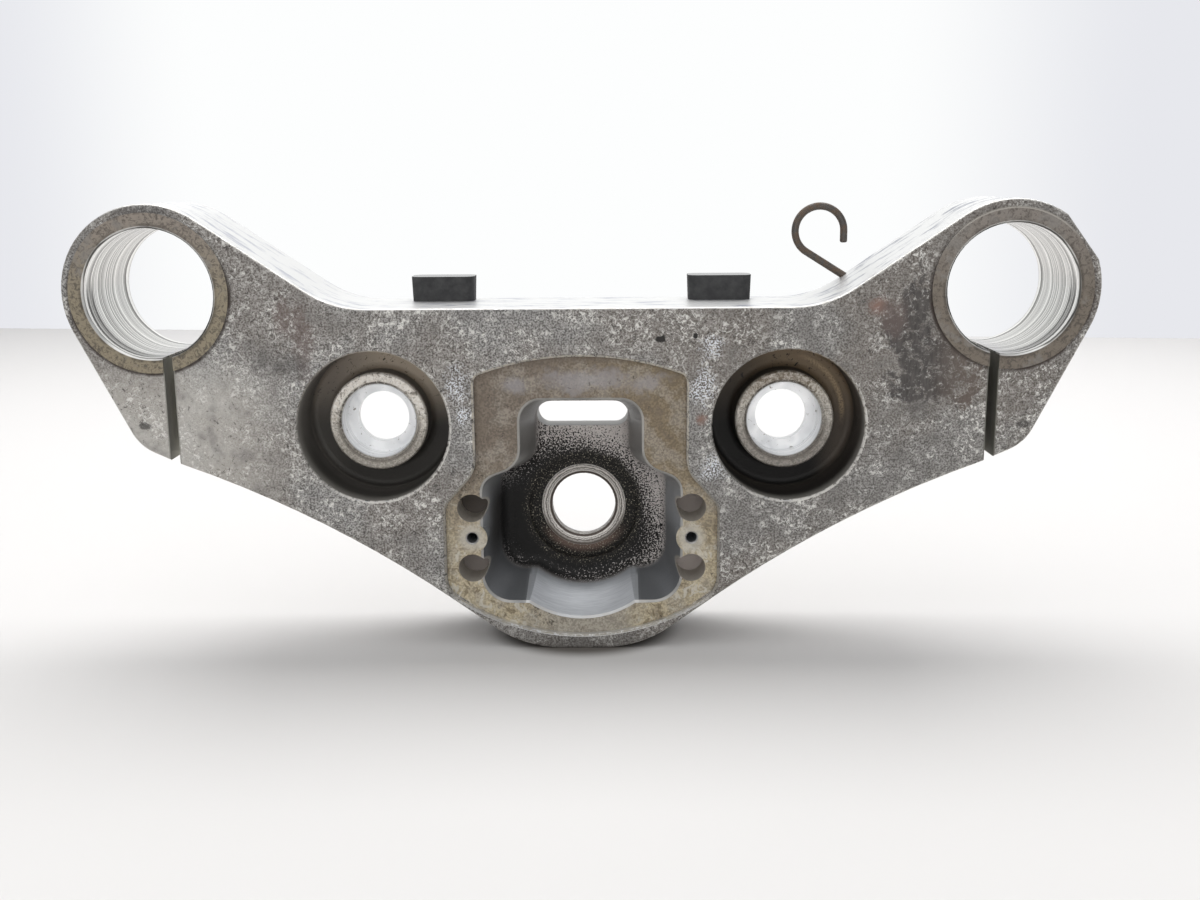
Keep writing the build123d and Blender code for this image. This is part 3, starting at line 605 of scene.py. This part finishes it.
def stem_pocket(tree, place, middle):
    # Smooth blue-grey pocket with a bright scoop, painted shade in its left half, grease spattered over its
    # floor and black round the hub
    pocket = overlap(tree, middle, add(tree, RANGE, {0: place.deep, 1: LEDGE + 0.02, 2: LEDGE + 0.1}))
    # A pale line round the pocket's rim, partly wear and partly painted highlight
    rim = overlap(
        tree,
        pocket,
        add(tree, RANGE, {0: place.deep, 1: LEDGE + RIM + 0.2, 2: LEDGE + RIM - 0.1}),
        add(tree, RANGE, {0: place.patch, 1: 0.35, 2: 0.6, 3: 0.3, 4: 0.8}),
    )
    wall = add(tree, MIX, {0: place.patch, 6: linear("#84878a"), 7: linear("#a6a9ad")}, **COLOUR)
    neck = add(tree, RANGE, {0: place.up, 1: 4.0, 2: 18.0, 4: 0.75}, **SOFT)
    wall = add(tree, MIX, {0: neck, 6: wall, 7: linear("#7d7973")}, **COLOUR)
    # The lower lobes are a little darker, partly grime and partly painted shade
    below = add(tree, RANGE, {0: place.up, 1: 2.0, 2: -6.0}, **SOFT)
    lobe = overlap(tree, below, add(tree, RANGE, {0: place.side, 1: RIDGE - 0.5, 2: RIDGE + 1.5}, **SOFT))
    wall = add(tree, MIX, {0: lobe, 6: wall, 7: linear("#7b7d80")}, **COLOUR)

    # Painted shade over the left half of the pocket, darkest on its floor
    painted_shade = overlap(
        tree,
        add(tree, RANGE, {0: place.across, 1: -2.0, 2: -20.0}, **SOFT),
        add(tree, RANGE, {0: place.up, 1: 16.0, 2: 2.0}, **SOFT),
        add(tree, RANGE, {0: place.up, 1: -20.0, 2: -4.0}, **SOFT),
        add(tree, RANGE, {0: place.deep, 1: FACE + 3, 2: FACE + 17}, **SOFT),
    )
    outside_painted_shade = add(tree, MATH, {0: 1.0, 1: painted_shade}, operation="SUBTRACT")

    # Bright scoop with fine tool marks, and a pale line along the ridge at each side of it, partly wear and
    # partly painted highlight
    scoop = overlap(
        tree,
        pocket,
        add(tree, RANGE, {0: place.up, 1: -9.0, 2: -13.0}, **SOFT),
        add(tree, RANGE, {0: place.from_stem, 1: SCOOP - 5, 2: SCOOP - 2}, **SOFT),
        add(tree, RANGE, {0: place.side, 1: RIDGE + 0.4, 2: RIDGE - 0.6}, **SOFT),
    )
    combed = add(tree, "ShaderNodeMapping", {"Vector": place.spot, "Scale": (1 / 5, 1 / 0.6, 1 / 5)})
    combed = add(tree, NOISE, {"Vector": combed, "Scale": 1.0, "Detail": 2.0})
    combed = add(tree, MIX, {0: combed, 6: linear("#bdc1c7"), 7: linear("#eef1f5")}, **COLOUR)
    ridge = overlap(
        tree,
        pocket,
        below,
        add(tree, MATH, {0: place.side, 1: RIDGE, 2: 0.4}, operation="COMPARE"),
        add(tree, RANGE, {0: place.deep, 1: POCKET_FLOOR - 4, 2: POCKET_FLOOR - 8}, **SOFT),
    )

    # Blind notches above and below each cover screw, their floors painted in shade, darkest at the upper
    # left and palest at the lower right, their walls painted lighter
    off_screw = add(tree, MATH, {0: place.up, 1: COVER_SCREW[2]}, operation="SUBTRACT")
    off_screw = add(tree, MATH, {0: off_screw}, operation="ABSOLUTE")
    notch = add(tree, "ShaderNodeCombineXYZ", {0: place.side, 2: off_screw})
    notch = add(tree, VECTOR, {0: notch, 1: (COVER_SCREW[0], 0, NOTCH_RISE)}, operation="DISTANCE")
    notch = overlap(tree, pocket, add(tree, RANGE, {0: notch, 1: NOTCH + 0.4, 2: NOTCH + 0.2}))
    blind = add(tree, RANGE, {0: place.front_facing, 1: 0.2, 2: 0.7}, **SOFT)
    lit = add(tree, MATH, {0: place.up, 1: -3.2, 2: place.across}, operation="MULTIPLY_ADD")
    lit = add(tree, RANGE, {0: lit, 1: -50.0, 2: 68.0})
    lit = add(tree, MIX, {0: lit, 6: linear("#4a433c"), 7: linear("#b3aaa5")}, **COLOUR)
    blind = add(tree, MIX, {0: blind, 6: linear("#b0aaa1"), 7: lit}, **COLOUR)

    # Pale floor with spatter that is thickest near the hub, and thicker on the left and low down, where it
    # adds to the painted shade
    floor = overlap(
        tree,
        pocket,
        add(tree, RANGE, {0: place.front_facing, 1: 0.15, 2: 0.75}, **SOFT),
        add(tree, RANGE, {0: place.deep, 1: POCKET_FLOOR - 4, 2: POCKET_FLOOR - 2.5}),
    )
    bare = add(tree, MIX, {0: place.patch, 6: linear("#aaa4a0"), 7: linear("#d4cdc9")}, **COLOUR)
    near = add(tree, RANGE, {0: place.from_stem, 1: HUB_SEAT + 11, 2: HUB_SEAT, 3: -0.04, 4: 0.16})
    left = add(tree, RANGE, {0: place.across, 1: 4.0, 2: -18.0, 3: -0.03, 4: 0.08}, **SOFT)
    low = add(tree, RANGE, {0: place.up, 1: 4.0, 2: -14.0, 4: 0.12}, **SOFT)
    thick = add(tree, MATH, {0: near, 1: left})
    thick = add(tree, MATH, {0: thick, 1: low})
    flecks = add(
        tree, NOISE,
        {"Vector": place.spot, "Scale": 1 / SAND_GRAIN, "Detail": 2.0, "Roughness": 0.7},
    )
    spatter = add(tree, MATH, {0: flecks, 1: thick}, operation="SUBTRACT")
    spatter = overlap(tree, floor, add(tree, RANGE, {0: spatter, 1: 0.47, 2: 0.41}))

    # Black grease with pale crumbs round the hub, whose face shows broken turning marks
    grease = add(tree, MATH, {0: place.from_stem, 1: place.ragged})
    grease = add(tree, RANGE, {0: grease, 1: HUB_SEAT + 2.5, 2: HUB_SEAT + 0.3}, **SOFT)
    grease = overlap(tree, pocket, grease)
    crumbs = overlap(
        tree,
        grease,
        add(tree, RANGE, {0: flecks, 1: 0.57, 2: 0.64}),
        add(tree, RANGE, {0: place.crust, 1: 0.44, 2: 0.56, 3: 0.25, 4: 1.0}),
    )
    rings = add(tree, MATH, {0: place.crust, 1: 1.2, 2: place.from_stem}, operation="MULTIPLY_ADD")
    rings = add(tree, NOISE, {"W": rings, "Scale": 1 / 0.45, "Detail": 2.0}, noise_dimensions="1D")
    rings = add(tree, RANGE, {0: rings, 1: 0.38, 2: 0.58})
    turned = add(tree, MIX, {0: rings, 6: linear("#6e6963"), 7: linear("#d8d3cd")}, **COLOUR)
    lip = add(tree, MATH, {0: place.from_stem, 1: STEM_HOLE + 0.4, 2: 0.3}, operation="COMPARE")
    turned = add(tree, MIX, {0: lip, 6: turned, 7: linear("#4d443e")}, **COLOUR)
    smear = overlap(
        tree,
        grease,
        add(tree, RANGE, {0: place.from_stem, 1: HUB_SEAT - 0.6, 2: HUB_RING + 0.5}, **SOFT),
        add(tree, RANGE, {0: place.up, 1: -5.0, 2: -12.0, 4: 0.75}, **SOFT),
    )
    hub = add(tree, RANGE, {0: place.from_stem, 1: HUB_RING + 0.1, 2: HUB_RING - 0.1})
    hub = overlap(tree, pocket, hub)
    soot = overlap(
        tree,
        hub,
        add(tree, RANGE, {0: place.from_stem, 1: STEM_HOLE + 1.2, 2: HUB_RING}, **SOFT),
        add(tree, RANGE, {0: place.up, 1: 0.0, 2: -8.0}, **SOFT),
    )
    return [
        (pocket, wall, (0.42, 0.4, 0.3)),
        (overlap(tree, pocket, painted_shade), linear("#3b3a39"), (0.45, 0.2, 0.3)),
        (scoop, combed, (0.4, 0.5, 0.2)),
        (ridge, linear("#d3d6da"), (0.4, 0.5, 0.2)),
        (notch, blind, (0.5, 0.3, 0.5)),
        (rim, linear("#c1beb8"), (0.4, 0.5, 0.3)),
        (overlap(tree, floor, outside_painted_shade), bare, (0.55, 0.3, 0.8)),
        (overlap(tree, floor, painted_shade), linear("#181716"), (0.65, 0.5, 0.8)),
        (spatter, linear("#141312"), (0.5, 0.5, 0.8)),
        (grease, linear("#1c1a18"), (0.6, 0.5, 0.8)),
        (smear, linear("#6b564b"), (0.45, 0.2, 0.4)),
        (crumbs, linear("#aea795"), (0.7, 0.0, 0.8)),
        (hub, turned, (0.45, 0.5, 0.2)),
        (soot, linear("#4b4037"), (0.5, 0.2, 0.5)),
    ]


def weathered_casting():
    # Sand-cast aluminium, long weathered: grey oxide with pale crusts, brown stains and bright bores
    material, tree, shader = start_finish("weathered_cast_aluminium")
    place = survey(tree)
    skin, layers = oxide_skin(tree, place)
    scoring, lug_layers = fork_lugs(tree, place)

    # Ground of the stem pocket and its ledge: inside the casting's flanks and clear of the riser seats
    lean = add(tree, MATH, {0: place.side, 1: -FLANK_SLOPE, 2: place.up}, operation="MULTIPLY_ADD")
    middle = overlap(
        tree,
        add(tree, RANGE, {0: lean, 1: FLANK_START - 0.3, 2: FLANK_START + 0.3}),
        add(tree, RANGE, {0: place.side, 1: LEDGE_HALF + 0.8, 2: LEDGE_HALF + 0.6}),
        add(tree, RANGE, {0: place.from_riser, 1: RISER_POCKET + 0.6, 2: RISER_POCKET + 0.8}),
        add(tree, RANGE, {0: place.up, 1: LEDGE_BOTTOM - 0.4, 2: LEDGE_BOTTOM}),
        add(tree, RANGE, {0: place.up, 1: LEDGE_TOP + 0.7, 2: LEDGE_TOP + 0.3}),
        add(tree, RANGE, {0: place.deep, 1: BACK_FACE - 0.4, 2: BACK_FACE - 0.7}),
    )
    layers += worn_edges(tree, place) + face_stains(tree, place) + lug_layers
    layers += riser_seats(tree, place, scoring)
    layers += cover_ledge(tree, place, middle) + stem_pocket(tree, place, middle)

    # Each layer covers what lies under it; its feel is roughness, metal and relief
    feel = (0.62, 0.45, 1.0)
    for mask, colour, layer_feel in layers:
        skin = add(tree, MIX, {0: mask, 6: skin, 7: colour}, **COLOUR)
        feel = add(tree, MIX, {0: mask, 4: feel, 5: layer_feel}, data_type="VECTOR")
    rough, metal, relief = add(tree, "ShaderNodeSeparateXYZ", {0: feel}).outputs
    height = add(tree, MATH, {0: place.grain, 1: 0.5, 2: place.crust}, operation="MULTIPLY_ADD")
    depth = add(tree, MATH, {0: relief, 1: 0.7}, operation="MULTIPLY")
    bump = add(tree, "ShaderNodeBump", {"Strength": depth, "Distance": 0.0003, "Height": height})
    tree.links.new(skin.outputs[2], shader.inputs["Base Color"])
    tree.links.new(rough, shader.inputs["Roughness"])
    tree.links.new(metal, shader.inputs["Metallic"])
    tree.links.new(bump.outputs[0], shader.inputs["Normal"])
    return material


def moulded_rubber():
    # Moulded rubber, aged: near black, chalky with dust, its top rubbed smooth so that it shines
    material, tree, shader = start_finish("moulded_black_rubber")
    spot = millimetres(tree)
    dust = add(tree, NOISE, {"Vector": spot, "Scale": 1 / 3.0, "Detail": 5.0, "Roughness": 0.65})
    tone = add(tree, RANGE, {0: dust, 1: 0.35, 2: 0.7})
    tone = add(tree, MIX, {0: tone, 6: linear("#2b2b2c"), 7: linear("#424242")}, **COLOUR)
    rough = add(tree, RANGE, {0: facing(tree)[2], 1: 0.4, 2: 0.9, 3: 0.75, 4: 0.16}, **SOFT)
    grain = add(tree, NOISE, {"Vector": spot, "Scale": 1 / 0.6, "Detail": 2.0})
    bump = add(tree, "ShaderNodeBump", {"Strength": 0.2, "Distance": 0.0001, "Height": grain})
    tree.links.new(tone.outputs[2], shader.inputs["Base Color"])
    tree.links.new(rough.outputs[0], shader.inputs["Roughness"])
    tree.links.new(bump.outputs[0], shader.inputs["Normal"])
    return material


def rusted_wire():
    # Mild steel wire gone brown: dark oxide with rust spots
    material, tree, shader = start_finish("rusted_steel_wire", Metallic=0.4)
    spot = millimetres(tree)
    rust = add(tree, NOISE, {"Vector": spot, "Scale": 1 / 2.0, "Detail": 4.0, "Roughness": 0.65})
    tone = add(tree, RANGE, {0: rust, 1: 0.4, 2: 0.62})
    colour = add(tree, MIX, {0: tone, 6: linear("#524e4a"), 7: linear("#6a5b4e")}, **COLOUR)
    rough = add(tree, RANGE, {0: tone, 3: 0.45, 4: 0.8})
    bump = add(tree, "ShaderNodeBump", {"Strength": 0.3, "Distance": 0.0001, "Height": rust})
    tree.links.new(colour.outputs[2], shader.inputs["Base Color"])
    tree.links.new(rough.outputs[0], shader.inputs["Roughness"])
    tree.links.new(bump.outputs[0], shader.inputs["Normal"])
    return material


def dull_zinc():
    # Zinc-plated steel gone dull: grey with pale bloom
    material, tree, shader = start_finish("dull_zinc_plate", Metallic=0.9)
    spot = millimetres(tree)
    bloom = add(tree, NOISE, {"Vector": spot, "Scale": 1 / 1.5, "Detail": 4.0, "Roughness": 0.6})
    tone = add(tree, RANGE, {0: bloom, 1: 0.4, 2: 0.65})
    colour = add(tree, MIX, {0: tone, 6: linear("#7b7a77"), 7: linear("#aaa9a4")}, **COLOUR)
    rough = add(tree, RANGE, {0: tone, 3: 0.35, 4: 0.6})
    tree.links.new(colour.outputs[2], shader.inputs["Base Color"])
    tree.links.new(rough.outputs[0], shader.inputs["Roughness"])
    return material


def floor_paper():
    # Pale uncoated paper, dull and even, with a painted contact shadow under the foot, its half sizes in
    # millimetres
    material, tree, shader = start_finish("pale_floor_paper", Roughness=0.9)
    half_width = 26.0
    half_depth = 23.0
    off = add(tree, VECTOR, {0: millimetres(tree), 1: (0, FACE / 2, FOOT)}, operation="SUBTRACT")
    off = add(tree, VECTOR, {0: off, 1: (1 / half_width, 1 / half_depth, 0)}, operation="MULTIPLY")
    off = add(tree, VECTOR, {0: off}, operation="LENGTH")
    painted_contact_shadow = add(tree, RANGE, {0: off, 1: 1.15, 2: 0.8}, **SOFT)
    tone = add(tree, MIX, {0: painted_contact_shadow, 6: linear("#dfdddb"), 7: linear("#6b6661")}, **COLOUR)
    tree.links.new(tone.outputs[2], shader.inputs["Base Color"])
    return material


def wall_paint():
    # White matt paint: to the eye and in reflections an even glow, a little greyer to the sides
    material, tree = empty_finish("white_wall_paint")
    glow_centre = -60.0
    edge = add(tree, "ShaderNodeSeparateXYZ", {0: millimetres(tree)}).outputs[0]
    edge = add(tree, MATH, {0: edge, 1: glow_centre}, operation="SUBTRACT")
    edge = add(tree, MATH, {0: edge}, operation="ABSOLUTE")
    edge = add(tree, RANGE, {0: edge, 1: 280.0, 2: 500.0}, **SOFT)
    tone = add(tree, MIX, {0: edge, 6: linear("#fdfefe"), 7: linear("#e7e8ed")}, **COLOUR)
    glow = add(tree, "ShaderNodeEmission", {"Color": tone, "Strength": 1.0})
    matt = add(tree, "ShaderNodeBsdfDiffuse", {"Color": linear("#e6e7ea")})
    ray = add(tree, "ShaderNodeLightPath").outputs
    seen = add(tree, MATH, {0: ray["Is Camera Ray"], 1: ray["Is Glossy Ray"]}, operation="MAXIMUM")
    seen = add(tree, MATH, {0: seen, 1: ray["Is Transmission Ray"]}, operation="MAXIMUM")
    mixed = add(tree, "ShaderNodeMixShader", {0: seen, 1: matt, 2: glow})
    add(tree, "ShaderNodeOutputMaterial", {"Surface": mixed})
    return material


def stage_plane(name, corners, finish):
    # One flat sheet of the studio
    mesh = bpy.data.meshes.new(name)
    mesh.from_pydata(corners, [], [tuple(range(len(corners)))])
    mesh.materials.append(finish)
    sheet = bpy.data.objects.new(name, mesh)
    scene.collection.objects.link(sheet)


# Camera at the photograph's viewpoint
view = bpy.data.cameras.new("view")
view.sensor_fit = "HORIZONTAL"
view.sensor_width = SENSOR
view.lens = LENS
camera = bpy.data.objects.new("view", view)
turn = (
    Matrix.Rotation(radians(VIEW_TURN), 3, "Z")
    @ Matrix.Rotation(pi / 2 + radians(VIEW_TILT), 3, "X")
    @ Matrix.Rotation(radians(VIEW_ROLL), 3, "Z")
)
camera.matrix_world = Matrix.LocRotScale(Vector(VIEW_POINT), turn.to_quaternion(), None)
scene.collection.objects.link(camera)
scene.camera = camera

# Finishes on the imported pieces
for finish, nodes in [
    (weathered_casting(), ["clamp_body"]),
    (moulded_rubber(), ["buffer_left", "buffer_right"]),
    (dull_zinc(), ["pinch_screw_left", "pinch_screw_right"]),
    (rusted_wire(), ["cable_hook"]),
]:
    for node in nodes:
        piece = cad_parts[node]
        piece.data.materials.clear()
        piece.data.materials.append(finish)

# Pale studio: a floor under the foot and a wall behind, turned a little
floor_level = FOOT / MM_PER_METRE
floor_corners = [
    (-STAGE_HALF, -STAGE_HALF, floor_level),
    (STAGE_HALF, -STAGE_HALF, floor_level),
    (STAGE_HALF, FLOOR_BACK, floor_level),
    (-STAGE_HALF, FLOOR_BACK, floor_level),
]
stage_plane("studio_floor", floor_corners, floor_paper())
wall_turn = Matrix.Rotation(radians(WALL_TURN), 3, "Z")
wall_corners = [
    Vector((0, WALL_DISTANCE, height)) + wall_turn @ Vector((side, 0, 0))
    for side, height in [
        (-STAGE_HALF, floor_level),
        (STAGE_HALF, floor_level),
        (STAGE_HALF, WALL_TOP),
        (-STAGE_HALF, WALL_TOP),
    ]
]
stage_plane("studio_wall", wall_corners, wall_paint())

# Plain soft light: an even room, two broad lamps above, behind and in front, and a fill beside the camera
world = bpy.data.worlds.new("studio")
scene.world = world
world.use_nodes = True
room = world.node_tree.nodes["Background"].inputs
room["Color"].default_value = linear("#f3f5f8")
room["Strength"].default_value = ROOM_LIGHT
for name, spot, aim, size, power in [
    ("softbox_behind", (0.0, 0.33, 0.80), (0.0, 0.05, 0.0), (1.2, 0.6), 8.4),
    ("softbox_in_front", (-0.15, -0.45, 0.90), (0.0, 0.0, 0.0), (1.0, 0.8), 2.2),
    ("fill", (0.0, -1.0, 0.30), (0.0, 0.0, 0.03), (1.2, 0.7), 3.2),
]:
    lamp = bpy.data.lights.new(name, "AREA")
    lamp.shape = "RECTANGLE"
    lamp.size, lamp.size_y = size
    lamp.energy = power
    holder = bpy.data.objects.new(name, lamp)
    aimed = (Vector(aim) - Vector(spot)).to_track_quat("-Z", "Y")
    holder.matrix_world = Matrix.LocRotScale(Vector(spot), aimed, None)
    scene.collection.objects.link(holder)

scene.view_settings.view_transform = "Standard"
